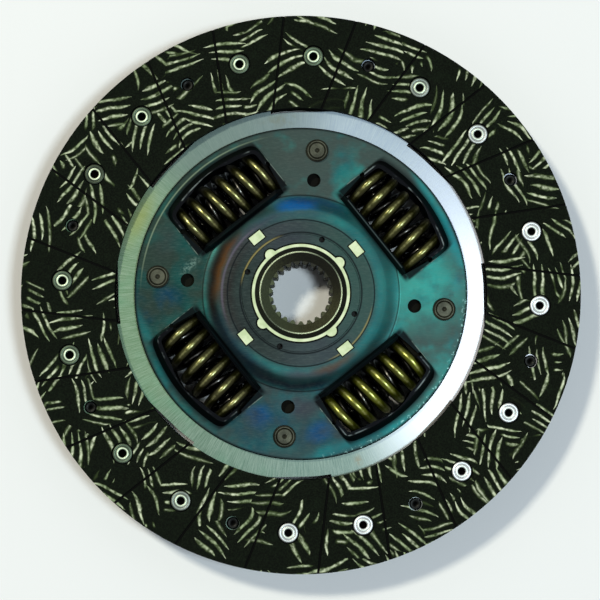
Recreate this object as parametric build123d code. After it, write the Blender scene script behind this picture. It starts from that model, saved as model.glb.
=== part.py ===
from build123d import *

import os
from math import asin, cos, pi, radians, sin, sqrt

# A dry clutch disc with a sprung hub, lying with its flywheel side up.
# Millimetres. +Z is the hub's axis, and z = 0 is the hub's rear end.
# Angles run anticlockwise from +X, seen from the front.

# ---- Facings -----------------------------------------------------------------
facing_outer_diameter = 225.0
facing_inner_diameter = 150.0
facing_thickness = 3.4
groove_count = 24
groove_width = 1.0
groove_depth = 0.6
groove_offset = 19.7  # each groove's line passes this far from the axis
groove_direction = -6.6

# ---- Cushion plate -----------------------------------------------------------
cushion_thickness = 0.8
cushion_wave = 0.7  # height of the front plateaus over the rear ones
paddle_count = 8
paddle_angle = 28.5
paddle_rim_margin = 1.2
paddle_slot_width = 1.4
neck_slot_inset = 1.3  # slot root inside the facing's inner edge
neck_slot_depth = 5.3
neck_step_angle = 19.0  # from the paddle's middle clockwise to the slot's square end
neck_ramp_start = 6.0  # and anticlockwise to the ramp that opens the next slot
neck_ramp_end = 16.0
neck_ramp_rise = 1.5
wave_ramp_width = 6.0
ear_half_width = 11.5
ear_margin = 6.0  # metal between the stop pin's centre and the ear's inner edge
ear_corner_radius = 4.8

# ---- Facing rivets -----------------------------------------------------------
rivet_circle_radius = 96.2
front_rivet_spread = 13.5  # angle of the two front rivets from the paddle's middle
rivet_shank_diameter = 4.0
rivet_bore_diameter = 3.0
rivet_head_diameter = 8.0
rivet_head_height = 0.9
rivet_head_chamfer = 0.36
rivet_ring_diameter = 5.6
rivet_ring_depth = 0.25
rivet_tail_diameter = 4.9
rivet_tail_height = 0.7
rivet_hole_clearance = 0.06
counterbore_diameter = 8.9
counterbore_depth = 1.9
access_hole_diameter = 5.6

# ---- Plates ------------------------------------------------------------------
plate_spacing = 10.4  # between the flat inner faces of the two plates
plate_thickness = 2.2
front_plate_diameter = 134.2
rear_plate_diameter = 130.0
front_centre_raise = 1.2
rear_centre_raise = 2.0
raise_inner_radius = 34.2
raise_outer_radius = 40.0
raise_bend_radius = 2.6
coined_land_radius = 23.9
coined_land_height = 0.2
plate_edge_round = 0.4

# ---- Damper springs ----------------------------------------------------------
window_count = 4
window_angle = 38.5
spring_axis_radius = 48.6
spring_length = 39.8
spring_end_clearance = 0.2
outer_spring_diameter = 22.4
outer_spring_wire = 4.4
outer_spring_pitch = 7.08
inner_spring_wire = 2.5
inner_spring_pitch = 4.5
nested_clearance = 0.5

# ---- Louvred windows ---------------------------------------------------------
window_side_flare = 1.9  # how far each side opens between its inner end and its notch
notch_height = 0.4  # notch beyond the spring's axis, towards the rim
notch_radius = 0.9
outer_lip_height = 4.0
outer_lip_clearance = 1.0  # from the spring's outer corners to the lip at its root
outer_lip_lean = 3.5
side_lip_lean = 1.5
side_lip_gap = 1.9  # from the spring's end to the lip at its root
lip_thickness = 1.6
lip_corner_radius = 3.6
lip_corner_shrink = 1.2
lip_scallop_radius = 23.0
lip_scallop_depth = 1.2
inner_lip_height = 3.2
inner_lip_lean = 1.5
inner_lip_end_slope = 3.0
inner_lip_end_height = 0.6

# ---- Stop pins and tooling holes ----------------------------------------------
stop_angle = 9.5  # travel of the hub each way
stop_pin_circle_radius = 58.0
stop_pin_barrel_diameter = 8.4
stop_pin_neck_diameter = 6.0
stop_pin_head_diameter = 9.1
stop_pin_head_height = 1.5
stop_pin_head_chamfer = 0.7
stop_pin_ring_diameter = 6.4
stop_pin_ring_depth = 0.35
stop_pin_dimple_diameter = 2.0
stop_pin_dimple_depth = 0.8
stop_pin_hole_clearance = 0.08
stop_pin_notch_clearance = 0.3
tooling_hole_circle_radius = 46.0
tooling_hole_diameter = 5.5
vent_hole_offset = 30.0  # angle past each window's middle
vent_hole_circle_radius = 23.1
vent_hole_diameter = 2.0

# ---- Hub ---------------------------------------------------------------------
hub_rear_length = 14.0  # both lengths run from the flange's middle
hub_front_length = 11.0
hub_boss_diameter = 36.4
hub_nose_diameter = 33.3
hub_nose_length = 1.7
hub_rear_chamfer = 1.0
hub_mouth_width = 0.45  # flat land round the spline's mouth cone
hub_mouth_depth = 2.4
flange_thickness = 7.6
flange_diameter = 125.0
flange_window_gap = 0.6
flange_window_corner_radius = 1.2
spline_teeth = 23
spline_major_diameter = 25.6
spline_minor_diameter = 22.8
spline_root_share = 0.26  # tooth space at the major diameter, as a share of the pitch
spline_mouth_share = 0.70  # tooth space at the minor diameter

# ---- Bushes and friction stack -------------------------------------------------
bush_wall = 1.4
bush_running_clearance = 0.09
bush_seat_clearance = 0.35
bush_proud = 0.5  # bush end over the plate's centre
bush_lobe_radius = 2.25
bush_lobe_inset = 0.2
friction_washer_outer_radius = 32.4
rear_friction_washer_thickness = 1.2
washer_bore_clearance = 0.4
lug_circle_radius = 28.5
lug_width = 5.6
lug_depth = 3.6
lug_slot_clearance = 0.25
lug_recess = 0.1
thrust_washer_thickness = 0.8
cone_spring_thickness = 0.6
cone_spring_margin = 0.5  # clear of the tabs outside it

# ---- Sizes that follow ---------------------------------------------------------
middle = hub_rear_length
half_flange = flange_thickness / 2
plate_inner = plate_spacing / 2
plate_outer = plate_inner + plate_thickness
spring_reach = outer_spring_diameter / 2
half_spring = spring_length / 2
window_half_width = half_spring + spring_end_clearance
window_inner_edge = spring_axis_radius - spring_reach
spring_edge_at_plate = spring_axis_radius + sqrt(spring_reach**2 - plate_inner**2)
outer_lip_reach = sqrt(spring_edge_at_plate**2 + half_spring**2) + outer_lip_clearance
stop_pin_angle = window_angle + 180 / window_count
neck_slot_root = facing_inner_diameter / 2 - neck_slot_inset
neck_slot_top = neck_slot_root + neck_slot_depth
lip_top = plate_outer + outer_lip_height
notch_y = spring_axis_radius + notch_height
hub_boss_radius = hub_boss_diameter / 2
bush_inner_radius = hub_boss_radius + bush_running_clearance
bush_outer_radius = bush_inner_radius + bush_wall
plate_bore_radius = bush_outer_radius + bush_seat_clearance
bush_lobe_centre = bush_outer_radius - bush_lobe_inset
washer_bore_radius = bush_outer_radius + washer_bore_clearance
front_gap = plate_inner + front_centre_raise - half_flange
rear_gap = plate_inner + rear_centre_raise - half_flange
cone_spring_height = rear_gap - rear_friction_washer_thickness - thrust_washer_thickness
pin_barrel_radius = stop_pin_barrel_diameter / 2
pin_hole_radius = stop_pin_neck_diameter / 2 + stop_pin_hole_clearance

# Levels over the flange's middle. The cushion plate lies on the front plate's back.
cushion_top = plate_inner
cushion_bottom = cushion_top - cushion_thickness
front_facing_bottom = cushion_top + cushion_wave / 2
front_facing_top = front_facing_bottom + facing_thickness
rear_facing_top = cushion_bottom - cushion_wave / 2
rear_facing_bottom = rear_facing_top - facing_thickness

part_names = []


def save(name, shape):
    """Writes one node, lifted from the flange's middle to the part's own frame."""
    export_step(Pos(0, 0, middle) * shape, f"parts/{name}.step")
    part_names.append(name)


def turned(points):
    """A solid of revolution about Z from (radius, height) points."""
    return revolve(Plane.XZ * make_face(Polyline(*points, close=True)), Axis.Z)


def disc(radius, low, high):
    """A round plug between two levels."""
    return Pos(0, 0, (low + high) / 2) * Cylinder(radius, high - low)


def ring(inner, outer, low, high):
    return disc(outer, low, high) - disc(inner, low, high)


def block(width, depth, low, high, y=0):
    """A box centred on x = 0 at the given y, between two levels."""
    return Pos(0, y, (low + high) / 2) * Box(width, depth, high - low)


def around(count, first_angle, shape):
    """Copies of a shape that is drawn on the +Y axis, spread evenly round the disc."""
    return [Rot(0, 0, first_angle - 90 + 360 / count * k) * shape for k in range(count)]


def prism(face, low, high):
    """A plan face pushed up between two levels."""
    return Pos(0, 0, low) * extrude(face, high - low)


def cut_all(body, tools):
    for tool in tools:
        body = body - tool
    return body


# ---- Facings and their rivets ----------------------------------------------------


def front_rivet_places():
    """Plan positions of the rivets of the front facing, two on each paddle."""
    for k in range(paddle_count):
        for side in (-1, 1):
            angle = paddle_angle + 360 / paddle_count * k + side * front_rivet_spread
            yield Rot(0, 0, angle) * Pos(rivet_circle_radius, 0)


def rear_rivet_places():
    """Plan positions of the rivets of the rear facing, one on each paddle."""
    for k in range(paddle_count):
        yield Rot(0, 0, paddle_angle + 360 / paddle_count * k) * Pos(rivet_circle_radius, 0)


def facing(own_places, other_places):
    """A facing with its friction face at the top and its back at z = 0."""
    outer = facing_outer_diameter / 2
    inner = facing_inner_diameter / 2
    shank_hole = rivet_shank_diameter / 2 + rivet_hole_clearance
    body = ring(inner, outer, 0, facing_thickness)
    for k in range(groove_count):
        cutter = Pos((outer + inner) / 2, groove_offset, facing_thickness)
        cutter = cutter * Box(outer, groove_width, groove_depth * 2)
        body -= Rot(0, 0, groove_direction + 360 / groove_count * k) * cutter
    for place in own_places:
        body -= place * disc(shank_hole, 0, facing_thickness)
        floor = facing_thickness - counterbore_depth
        body -= place * disc(counterbore_diameter / 2, floor, facing_thickness)
    for place in other_places:
        body -= place * disc(access_hole_diameter / 2, 0, facing_thickness)
    return body


def facing_rivet():
    """A tubular rivet, head up, whose head seats at z = 0."""
    shank = rivet_shank_diameter / 2
    bore = rivet_bore_diameter / 2
    head = rivet_head_diameter / 2
    seat = rivet_ring_diameter / 2
    tail = rivet_tail_diameter / 2
    grip = facing_thickness - counterbore_depth + cushion_thickness
    return turned(
        [
            (bore, -grip - rivet_tail_height),
            (tail, -grip - rivet_tail_height),
            (tail, -grip),
            (shank, -grip),
            (shank, 0),
            (head, 0),
            (head, rivet_head_height - rivet_head_chamfer),
            (head - rivet_head_chamfer, rivet_head_height),
            (seat, rivet_head_height),
            (seat - rivet_ring_depth, rivet_head_height - rivet_ring_depth),
            (bore, rivet_head_height - rivet_ring_depth),
        ]
    )


def make_facings():
    flip = Rot(180, 0, 0)
    front_places = list(front_rivet_places())
    rear_places = list(rear_rivet_places())
    front = Pos(0, 0, front_facing_bottom) * facing(front_places, rear_places)
    save("front_facing", front)
    # The rear facing is the same pressing laid on its back, so its holes are mirrored first.
    rear_up = facing(rear_places, front_places)
    rear = Pos(0, 0, rear_facing_top) * mirror(rear_up, Plane.XY)
    save("rear_facing", rear)

    rivet = facing_rivet()
    front_seat = front_facing_top - counterbore_depth
    rear_seat = rear_facing_bottom + counterbore_depth
    front_rivets = [place * Pos(0, 0, front_seat) * rivet for place in front_places]
    rear_rivets = [place * Pos(0, 0, rear_seat) * flip * rivet for place in rear_places]
    save("front_facing_rivets", Compound(children=front_rivets))
    save("rear_facing_rivets", Compound(children=rear_rivets))


# ---- Cushion plate ---------------------------------------------------------------


def paddle_wave(low_x, high_x):
    """Cross-section of a paddle's wave along its width: high at the ends, low in the middle."""
    rivet_x = rivet_circle_radius * sin(radians(front_rivet_spread))
    ramp_in = (rivet_x - wave_ramp_width) / 2
    ramp_out = ramp_in + wave_ramp_width
    rise = cushion_wave / 2
    upper = [
        (low_x, rise),
        (-ramp_out, rise),
        (-ramp_in, -rise),
        (ramp_in, -rise),
        (ramp_out, rise),
        (high_x, rise),
    ]
    lower = [(x, z - cushion_thickness) for x, z in reversed(upper)]
    return make_face(Polyline(*upper, *lower, close=True))


def neck_slot():
    """The foot-shaped slot between two paddle necks: square at one end, ramped at the other."""

    def point(angle, radius):
        return (-radius * sin(radians(angle)), radius * cos(radians(angle)))

    # The outline passes both circles, which the ring then cuts it back to.
    step = 360 / paddle_count - neck_step_angle
    beyond = facing_outer_diameter / 2
    outline = Polyline(
        point(neck_ramp_end, neck_slot_root),
        point(neck_ramp_start, neck_slot_root + neck_ramp_rise),
        point(neck_ramp_start, neck_slot_top),
        point(neck_ramp_end, beyond),
        point(step, beyond),
        point(step, neck_slot_root - neck_slot_inset),
        close=True,
    )
    reach = 2 * cushion_thickness
    return prism(make_face(outline), -reach, reach) & ring(neck_slot_root, neck_slot_top, -reach, reach)


def paddle():
    """The waved part of one paddle on the +Y axis, level with the flat ring at z = 0."""
    rim = facing_outer_diameter / 2 - paddle_rim_margin
    half_pitch = 180 / paddle_count
    half_width = rim * sin(radians(half_pitch)) + paddle_slot_width
    reach = 2 * cushion_thickness
    wave = extrude(Plane.XZ * paddle_wave(-half_width, half_width), -rim)
    wave = wave & ring(neck_slot_top - cushion_thickness, rim, -reach, reach)
    for side in (-1, 1):
        middle_of_slot = Rot(0, 0, side * half_pitch)
        beyond = Pos((paddle_slot_width / 2 - rim) * side, rim, 0) * Box(2 * rim, 2 * rim, 2 * reach)
        wave -= middle_of_slot * beyond
    return wave


def make_cushion_plate():
    thickness = cushion_thickness
    reach = 2 * thickness
    pin_y = stop_pin_circle_radius
    ring_inner = outer_lip_reach + lip_thickness
    body = ring(ring_inner, neck_slot_top, -thickness, 0)
    ear_top = neck_slot_root
    ear_bottom = pin_y - ear_margin
    ear = Rectangle(2 * ear_half_width, ear_top - ear_bottom)
    ear = fillet(ear.vertices().sort_by(Axis.Y)[:2], ear_corner_radius)
    ear = prism(Pos(0, (ear_top + ear_bottom) / 2) * ear, -thickness, 0)
    for piece in around(window_count, stop_pin_angle, ear):
        body += piece
    for piece in around(paddle_count, paddle_angle, paddle()):
        body += piece
    body = cut_all(body, around(paddle_count, paddle_angle, neck_slot()))
    pin_hole = Pos(0, pin_y, 0) * disc(pin_hole_radius, -reach, reach)
    body = cut_all(body, around(window_count, stop_pin_angle, pin_hole))
    shank_hole = disc(rivet_shank_diameter / 2 + rivet_hole_clearance, -reach, reach)
    places = list(front_rivet_places()) + list(rear_rivet_places())
    body = cut_all(body, [place * shank_hole for place in places])
    save("cushion_plate", Pos(0, 0, cushion_top) * body)


# ---- Plates with louvred windows ---------------------------------------------------


def window_plan(arc_radius, half_width, corner_radius):
    """Plan of a window's outer end: straight sides, round corners, an arc about the axis."""
    low = notch_y - notch_radius
    tall = arc_radius
    plan = Pos(0, low + tall / 2) * Rectangle(2 * half_width, tall) & Circle(arc_radius)
    return fillet(plan.vertices().sort_by(Axis.Y)[-2:], corner_radius)


def window_shell(grow):
    """The space under a lip, or with grow the lip's outside: a loft that leans over the spring."""
    low_half = half_spring + side_lip_gap + grow
    low = window_plan(outer_lip_reach + grow, low_half, lip_corner_radius + grow)
    high = window_plan(
        outer_lip_reach - outer_lip_lean + grow,
        low_half - side_lip_lean,
        lip_corner_radius - lip_corner_shrink + grow,
    )
    return loft([Pos(0, 0, plate_inner) * low, Pos(0, 0, lip_top) * high], ruled=True)


def window_lower_cut():
    """The open part of the window on the hub's side of the notches, flared outwards."""
    narrow = window_half_width
    wide = narrow + window_side_flare
    outline = Polyline(
        (-narrow, window_inner_edge),
        (narrow, window_inner_edge),
        (wide, notch_y),
        (-wide, notch_y),
        close=True,
    )
    notch = Circle(notch_radius)
    plan = make_face(outline) + Pos(wide, notch_y) * notch + Pos(-wide, notch_y) * notch
    return prism(plan, 0, 2 * lip_top)


def outer_lip():
    """The bent-up lip round the window's rim side."""
    reach = 4 * spring_reach
    keep = block(reach * 2, reach, plate_inner, lip_top, notch_y + reach / 2)
    lip = (window_shell(lip_thickness) & keep) - window_shell(0)
    scallop_edge = outer_lip_reach - outer_lip_lean + lip_scallop_depth
    scallop = Pos(0, scallop_edge - lip_scallop_radius, plate_outer + lip_top) * Cylinder(
        lip_scallop_radius, 2 * lip_top
    )
    return lip - scallop


def inner_lip():
    """The straight lip on the hub's side, leaning over the spring."""
    root = plate_inner + plate_thickness / 2
    top = plate_outer + inner_lip_height
    edge = window_inner_edge
    section = Polyline(
        (edge - lip_thickness, root),
        (edge, root),
        (edge + inner_lip_lean, top - lip_thickness / 2),
        (edge + inner_lip_lean - lip_thickness, top),
        close=True,
    )
    half = window_half_width - spring_end_clearance
    wall = Pos(-half, 0, 0) * extrude(Plane.YZ * make_face(section), 2 * half)
    ends = Polyline(
        (-half, root),
        (half, root),
        (half, plate_outer + inner_lip_end_height),
        (half - inner_lip_end_slope, top),
        (-half + inner_lip_end_slope, top),
        (-half, plate_outer + inner_lip_end_height),
        close=True,
    )
    return wall & extrude(Plane.XZ * make_face(ends), -2 * edge)


def pressed_sheet(diameter, centre_raise):
    """The plate before its windows: flat rim, raised centre with a coined land round the bore."""
    radius = diameter / 2
    bore = plate_bore_radius
    low = plate_inner
    top = low + plate_thickness + centre_raise
    section = Polyline(
        (bore, low + centre_raise),
        (raise_inner_radius, low + centre_raise),
        (raise_outer_radius, low),
        (radius, low),
        (radius, low + plate_thickness - plate_edge_round),
        (radius - plate_edge_round, low + plate_thickness),
        (raise_outer_radius, low + plate_thickness),
        (raise_inner_radius, top),
        (coined_land_radius, top),
        (coined_land_radius - coined_land_height, top + coined_land_height),
        (bore, top + coined_land_height),
        close=True,
    )
    face = make_face(section)
    bends = [v for v in face.vertices() if abs(v.X - raise_inner_radius) < 1e-6]
    bends += [v for v in face.vertices() if abs(v.X - raise_outer_radius) < 1e-6]
    return revolve(Plane.XZ * fillet(bends, raise_bend_radius), Axis.Z)


def damper_plate(diameter, centre_raise):
    """A plate in the front plate's attitude, with windows, lips, holes and slots."""
    high = plate_outer + 2 * centre_raise
    body = pressed_sheet(diameter, centre_raise)
    lips = outer_lip() + inner_lip()
    for piece in around(window_count, window_angle, lips):
        body += piece
    body = cut_all(body, around(window_count, window_angle, window_shell(0)))
    body = cut_all(body, around(window_count, window_angle, window_lower_cut() - inner_lip()))

    lobe_hole_radius = bush_lobe_radius + bush_seat_clearance
    lobe_hole = Pos(0, bush_lobe_centre, high / 2) * Cylinder(lobe_hole_radius, high)
    slot_width = lug_width + 2 * lug_slot_clearance
    slot_depth = lug_depth + 2 * lug_slot_clearance
    lug_slot = block(slot_width, slot_depth, 0, high, lug_circle_radius)
    pin_hole = Pos(0, stop_pin_circle_radius, high / 2) * Cylinder(pin_hole_radius, high)
    tooling_hole = Cylinder(tooling_hole_diameter / 2, high)
    tooling_hole = Pos(0, tooling_hole_circle_radius, high / 2) * tooling_hole
    vent_hole = Pos(0, vent_hole_circle_radius, high / 2) * Cylinder(vent_hole_diameter / 2, high)
    body = cut_all(body, around(window_count, window_angle, lobe_hole))
    body = cut_all(body, around(window_count, window_angle, lug_slot))
    body = cut_all(body, around(window_count, stop_pin_angle, pin_hole))
    body = cut_all(body, around(window_count, stop_pin_angle, tooling_hole))
    return cut_all(body, around(window_count, window_angle + vent_hole_offset, vent_hole))


def make_plates():
    save("front_plate", damper_plate(front_plate_diameter, front_centre_raise))
    rear = damper_plate(rear_plate_diameter, rear_centre_raise)
    save("rear_plate", mirror(rear, Plane.XY))


# ---- Springs ---------------------------------------------------------------------


def coil_spring(mean_radius, wire, pitch, lefthand):
    """A wire helix along X, swept turn by turn, with its ends ground flat to the spring's length."""
    turns = 2 * round((spring_length + wire) / pitch / 2)
    path = Helix(pitch=pitch, height=pitch, radius=mean_radius, lefthand=lefthand)
    section = Plane(origin=path @ 0, z_dir=path % 0) * Circle(wire / 2)
    turn = sweep(section, path=path, is_frenet=True)
    coil = Pos(0, 0, -turns / 2 * pitch) * turn
    for k in range(1, turns):
        coil += Pos(0, 0, (k - turns / 2) * pitch) * turn
    coil = coil & Box(4 * mean_radius, 4 * mean_radius, spring_length)
    return Pos(0, spring_axis_radius, 0) * Rot(0, 90, 0) * coil


def make_springs():
    outer_mean = (outer_spring_diameter - outer_spring_wire) / 2
    inner_mean = outer_mean - outer_spring_wire / 2 - nested_clearance - inner_spring_wire / 2
    outer = coil_spring(outer_mean, outer_spring_wire, outer_spring_pitch, False)
    inner = coil_spring(inner_mean, inner_spring_wire, inner_spring_pitch, True)
    for k, spring in enumerate(around(window_count, window_angle, outer), start=1):
        save(f"outer_spring_{k}", spring)
    for k, spring in enumerate(around(window_count, window_angle, inner), start=1):
        save(f"inner_spring_{k}", spring)


# ---- Stop pins -------------------------------------------------------------------


def head_profile(seat, sign):
    """Points of a riveted-over head from its rim to its dimpled middle."""
    head = stop_pin_head_diameter / 2
    crown = stop_pin_head_height
    groove = stop_pin_ring_diameter / 2
    depth = stop_pin_ring_depth
    dimple = stop_pin_dimple_diameter / 2
    steps = [
        (head, 0),
        (head, crown - stop_pin_head_chamfer),
        (head - stop_pin_head_chamfer, crown),
        (groove + depth, crown),
        (groove, crown - depth),
        (groove - depth, crown),
        (dimple, crown),
        (0, crown - stop_pin_dimple_depth),
    ]
    return [(r, seat + sign * z) for r, z in steps]


def stop_pin():
    """A shouldered pin on the +Y axis that clamps the plates at their spacing."""
    neck = stop_pin_neck_diameter / 2
    front = head_profile(plate_outer, 1)
    rear = head_profile(-plate_outer, -1)
    points = [*reversed(front), (neck, plate_outer), (neck, cushion_bottom)]
    points += [(pin_barrel_radius, cushion_bottom), (pin_barrel_radius, -plate_inner)]
    points += [(neck, -plate_inner), (neck, -plate_outer), *rear]
    return Pos(0, stop_pin_circle_radius, 0) * turned(points)


def make_stop_pins():
    for k, pin in enumerate(around(window_count, stop_pin_angle, stop_pin()), start=1):
        save(f"stop_pin_{k}", pin)


# ---- Hub -------------------------------------------------------------------------


def spline_space():
    """One tooth space of the internal spline, wide at the bore and narrow at its root."""
    minor = spline_minor_diameter / 2
    major = spline_major_diameter / 2
    wide = 2 * pi * minor / spline_teeth * spline_mouth_share / 2
    narrow = 2 * pi * major / spline_teeth * spline_root_share / 2
    inside = minor - (major - minor) / 2  # overlaps the bore
    outline = Polyline(
        (-wide, inside),
        (wide, inside),
        (wide, minor),
        (narrow, major),
        (-narrow, major),
        (-wide, minor),
        close=True,
    )
    return make_face(outline)


def spline_bore():
    """The splined hole over the hub's whole length."""
    plan = Circle(spline_minor_diameter / 2)
    for space in around(spline_teeth, 90, spline_space()):
        plan += space
    return prism(plan, -hub_rear_length - 1, hub_front_length + 1)


def hub_turning():
    """The hub and its flange before the windows, notches and spline."""
    boss = hub_boss_radius
    nose = hub_nose_diameter / 2
    flange = flange_diameter / 2
    rear = -hub_rear_length
    front = hub_front_length
    mouth = nose - hub_mouth_width
    rear_mouth = boss - hub_rear_chamfer - hub_mouth_width
    floor = spline_major_diameter / 2
    return turned(
        [
            (0, rear + hub_mouth_depth),
            (floor, rear + hub_mouth_depth),
            (rear_mouth, rear),
            (boss - hub_rear_chamfer, rear),
            (boss, rear + hub_rear_chamfer),
            (boss, -half_flange),
            (flange, -half_flange),
            (flange, half_flange),
            (boss, half_flange),
            (boss, front - hub_nose_length),
            (nose, front),
            (mouth, front),
            (floor, front - hub_mouth_depth),
            (0, front - hub_mouth_depth),
        ]
    )


def flange_window():
    """An opening for one spring, open to the flange's rim."""
    low = spring_axis_radius - spring_reach - flange_window_gap
    tall = flange_diameter / 2
    plan = Pos(0, low + tall / 2) * Rectangle(2 * window_half_width, tall)
    plan = fillet(plan.vertices().sort_by(Axis.Y)[:2], flange_window_corner_radius)
    return prism(plan, -flange_thickness, flange_thickness)


def stop_notch():
    """The room that a stop pin needs in the flange while the hub turns either way."""
    reach = pin_barrel_radius + stop_pin_notch_clearance
    radius = stop_pin_circle_radius
    sweep_arc = CenterArc((0, 0), radius, 90 - stop_angle, 2 * stop_angle)
    slot = SlotArc(sweep_arc, 2 * reach)
    half = radians(stop_angle) + asin(reach / radius)
    inside = sqrt(radius**2 - reach**2)
    outside = flange_diameter
    wedge = Polyline(
        (inside * sin(-half), inside * cos(half)),
        (inside * sin(half), inside * cos(half)),
        (outside * sin(half), outside * cos(half)),
        (outside * sin(-half), outside * cos(half)),
        close=True,
    )
    return prism(slot + make_face(wedge), -flange_thickness, flange_thickness)


def make_hub():
    body = hub_turning()
    body = cut_all(body, around(window_count, window_angle, flange_window()))
    body = cut_all(body, around(window_count, stop_pin_angle, stop_notch()))
    save("hub", body - spline_bore())


# ---- Bushes and friction stack -------------------------------------------------------


def lobed_bush(plate_top):
    """A bush from the flange's face to just over the plate, with lobes that key it in the bore."""
    top = plate_top + bush_proud
    body = ring(bush_inner_radius, bush_outer_radius, half_flange, top)
    bore = disc(bush_inner_radius, half_flange, top)
    lobe = Pos(0, bush_lobe_centre, 0) * disc(bush_lobe_radius, plate_top - plate_thickness, top)
    for piece in around(window_count, window_angle, lobe - bore):
        body += piece
    return body


def lugs(low, high):
    """Four square lugs that stand in the plate's slots."""
    lug = block(lug_width, lug_depth, low, high, lug_circle_radius)
    return around(window_count, window_angle, lug)


def make_friction_stack():
    front_plate_top = plate_outer + front_centre_raise
    rear_plate_top = plate_outer + rear_centre_raise
    bore = washer_bore_radius
    outer = friction_washer_outer_radius
    land = coined_land_height
    save("front_bush", lobed_bush(front_plate_top + land))
    save("rear_bush", mirror(lobed_bush(rear_plate_top + land), Plane.XY))

    washer = ring(bore, outer, half_flange, half_flange + front_gap)
    for lug in lugs(half_flange, front_plate_top - lug_recess):
        washer += lug
    save("front_friction_washer", washer)

    level = half_flange + rear_friction_washer_thickness
    rear_washer = ring(bore, outer, half_flange, level)
    save("rear_friction_washer", mirror(rear_washer, Plane.XY))

    thrust = ring(bore, outer, level, level + thrust_washer_thickness)
    for lug in lugs(level, rear_plate_top - lug_recess):
        thrust += lug
    save("rear_thrust_washer", mirror(thrust, Plane.XY))

    foot = level + thrust_washer_thickness
    top = foot + cone_spring_height
    rim = lug_circle_radius - lug_depth / 2 - cone_spring_margin
    thin = cone_spring_thickness
    dished = turned([(bore, top - thin), (rim, foot), (rim, foot + thin), (bore, top)])
    save("cone_spring", mirror(dished, Plane.XY))


os.makedirs("parts", exist_ok=True)
make_facings()
make_cushion_plate()
make_plates()
make_springs()
make_stop_pins()
make_hub()
make_friction_stack()
print(len(part_names), "nodes written")
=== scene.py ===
from math import cos, pi, radians, sin

import bpy
from mathutils import Matrix, Vector


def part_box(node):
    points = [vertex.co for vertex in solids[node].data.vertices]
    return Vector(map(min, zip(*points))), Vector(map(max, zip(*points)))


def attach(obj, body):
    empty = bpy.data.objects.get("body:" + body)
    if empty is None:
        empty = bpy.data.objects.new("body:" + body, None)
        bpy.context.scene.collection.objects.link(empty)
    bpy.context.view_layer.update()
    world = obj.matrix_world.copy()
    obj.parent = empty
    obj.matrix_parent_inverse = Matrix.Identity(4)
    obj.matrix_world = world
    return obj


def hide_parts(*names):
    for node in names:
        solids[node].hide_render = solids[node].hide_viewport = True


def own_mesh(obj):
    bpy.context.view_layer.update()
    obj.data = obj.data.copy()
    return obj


# A dry clutch disc with a sprung hub, dressed around its solids.
# Metres, in the solids' frame. The finishes and the sizes named here are in millimetres,
# and angles run anticlockwise from +X in degrees.

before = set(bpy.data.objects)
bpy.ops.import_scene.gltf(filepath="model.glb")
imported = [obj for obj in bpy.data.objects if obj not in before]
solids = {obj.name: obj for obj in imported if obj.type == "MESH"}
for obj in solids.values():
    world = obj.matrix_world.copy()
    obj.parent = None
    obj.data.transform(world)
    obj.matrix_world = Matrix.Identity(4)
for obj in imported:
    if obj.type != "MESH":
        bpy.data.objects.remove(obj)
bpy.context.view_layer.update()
MM = 0.001

window_angle = 38.5  # direction of the first spring window
window_count = 4
spring_circle = 48.6  # radius of the circle on which the springs' middles lie
spring_length = 39.8
flange_middle = 14.0  # height of the hub flange's middle, and of the springs
vent_hole_angle = 68.5
vent_hole_circle = 23.1
vent_shade_radius = 1.7
lug_circle = 28.5  # the front friction washer's lugs, in their slots
lug_half_width = 2.8
lug_half_depth = 1.8
lobe_circle = 19.3  # the bush's lobes, in the plate's bore
lobe_seat_radius = 2.6
bush_seat_radius = 19.9

paddle_angle = 28.5
paddle_count = 8
rivet_circle = 96.2
rivet_spread = 13.5
counterbore_depth = 1.9
facing_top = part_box("front_facing")[1].z / MM
facing_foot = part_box("rear_facing")[0].z / MM
hub_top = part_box("hub")[1].z / MM
lip_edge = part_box("front_plate")[1].z / MM - flange_middle  # above the flange's middle


# ---- Node trees ------------------------------------------------------------------


class Number:
    """A number that varies over a surface or along a curve. Its operators add Math nodes."""

    def __init__(self, tree, socket):
        self.tree = tree
        self.socket = socket

    def math(self, operation, *others):
        return self.tree.number("ShaderNodeMath", {"operation": operation}, [self, *others])

    def __add__(self, other):
        return self.math("ADD", other)

    def __sub__(self, other):
        return self.math("SUBTRACT", other)

    def __rsub__(self, other):
        return self.math("MULTIPLY_ADD", -1.0, other)

    def __mul__(self, other):
        return self.math("MULTIPLY", other)

    def __truediv__(self, other):
        return self.math("DIVIDE", other)

    def __abs__(self):
        return self.math("ABSOLUTE")

    __radd__ = __add__
    __rmul__ = __mul__

    def most(self, other):
        return self.math("MAXIMUM", other)

    def least(self, other):
        return self.math("MINIMUM", other)

    def between(self, low, high):
        """Rises smoothly from 0 at low to 1 at high, or falls where high is the smaller."""
        settings = {"interpolation_type": "SMOOTHSTEP"}
        places = {"Value": self, "From Min": low, "From Max": high}
        return self.tree.number("ShaderNodeMapRange", settings, places)

    def near(self, place, reach):
        """1 at a value, falling smoothly to 0 at reach on both sides of it."""
        return abs(self - place).between(reach, 0.0)


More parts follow.
